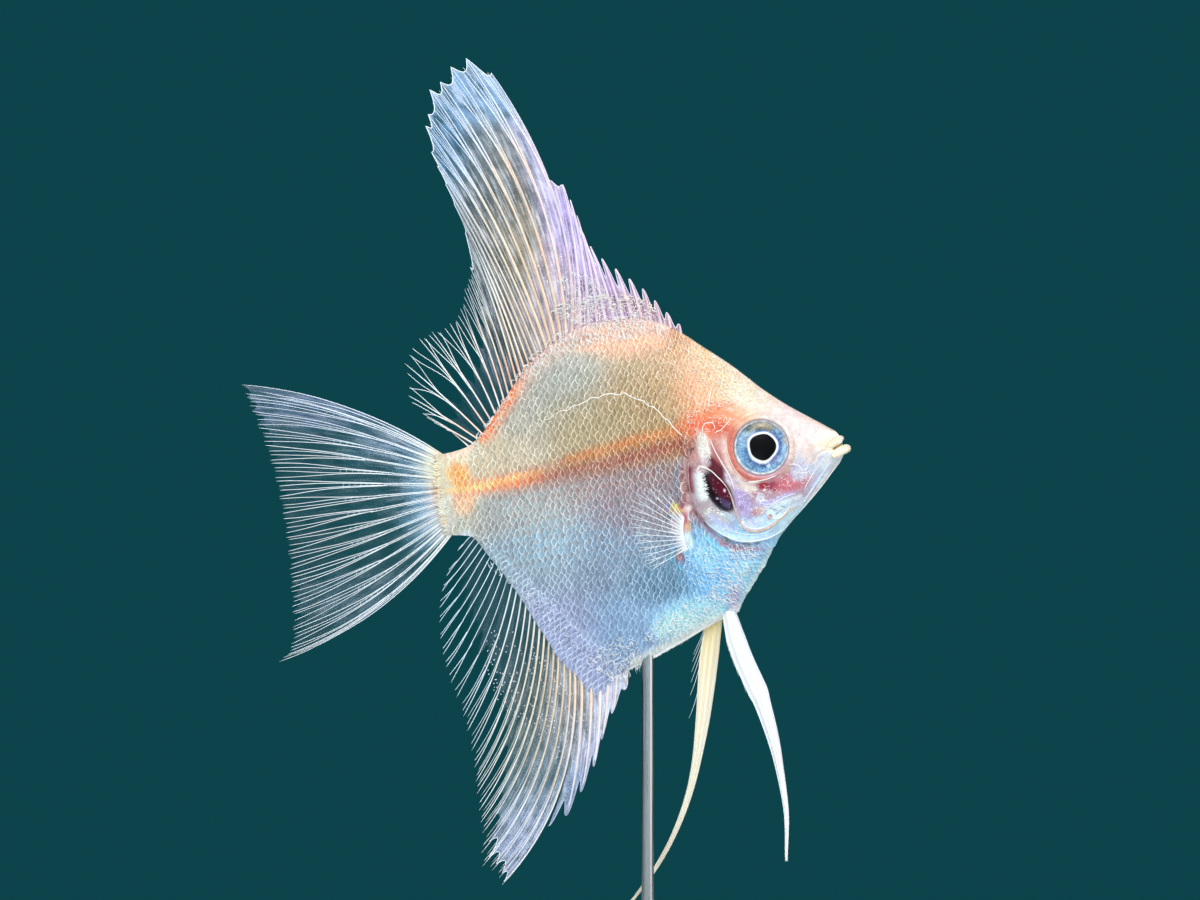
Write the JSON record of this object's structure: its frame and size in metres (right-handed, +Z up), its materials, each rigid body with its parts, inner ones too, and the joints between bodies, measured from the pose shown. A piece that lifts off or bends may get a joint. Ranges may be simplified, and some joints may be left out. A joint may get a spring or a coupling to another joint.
{
  "type": "freshwater angelfish model",
  "caption": "Life-size still model of a young freshwater angelfish with tall dorsal and anal fins and trailing pelvic feelers, held on a flat oval base by a thin rod.",
  "frame": {"origin": "under the middle of the model, on the underside of the stand's base", "axes": "+X towards the snout, +Y the fish's left side, +Z up"},
  "size_m": [0.0752, 0.036, 0.116],
  "materials": {
    "flank": "moist scales, peach and olive gold above an orange band, silvery blue below",
    "face": "smooth moist skin, cream brow, pink and pale blue cheeks",
    "lip": "satin cream lips",
    "gill": "thin glossy gill plate, dark crimson showing through it",
    "fin": "clear fin skin between pale jointed rays",
    "feeler": "opaque white fin rays",
    "eye": "clear wet dome over a speckled steel-blue iris",
    "walnut": "satin oiled wood",
    "steel": "brushed"
  },
  "bodies": {
    "root": {"trunk": "flank", "tail_base": "flank", "head": "face", "gill_cover_left": "gill", "gill_cover_right": "gill", "upper_jaw": "lip", "lower_jaw": "lip", "eye_left": "eye", "eye_right": "eye", "dorsal_fin": "fin", "anal_fin": "fin", "tail_fin": "fin", "pectoral_fin_left": "fin", "pectoral_fin_right": "fin", "pelvic_fin_left": "feeler", "pelvic_fin_right": "feeler", "stand_base": "walnut", "stand_rod": "steel"}
  },
  "joints": []
}
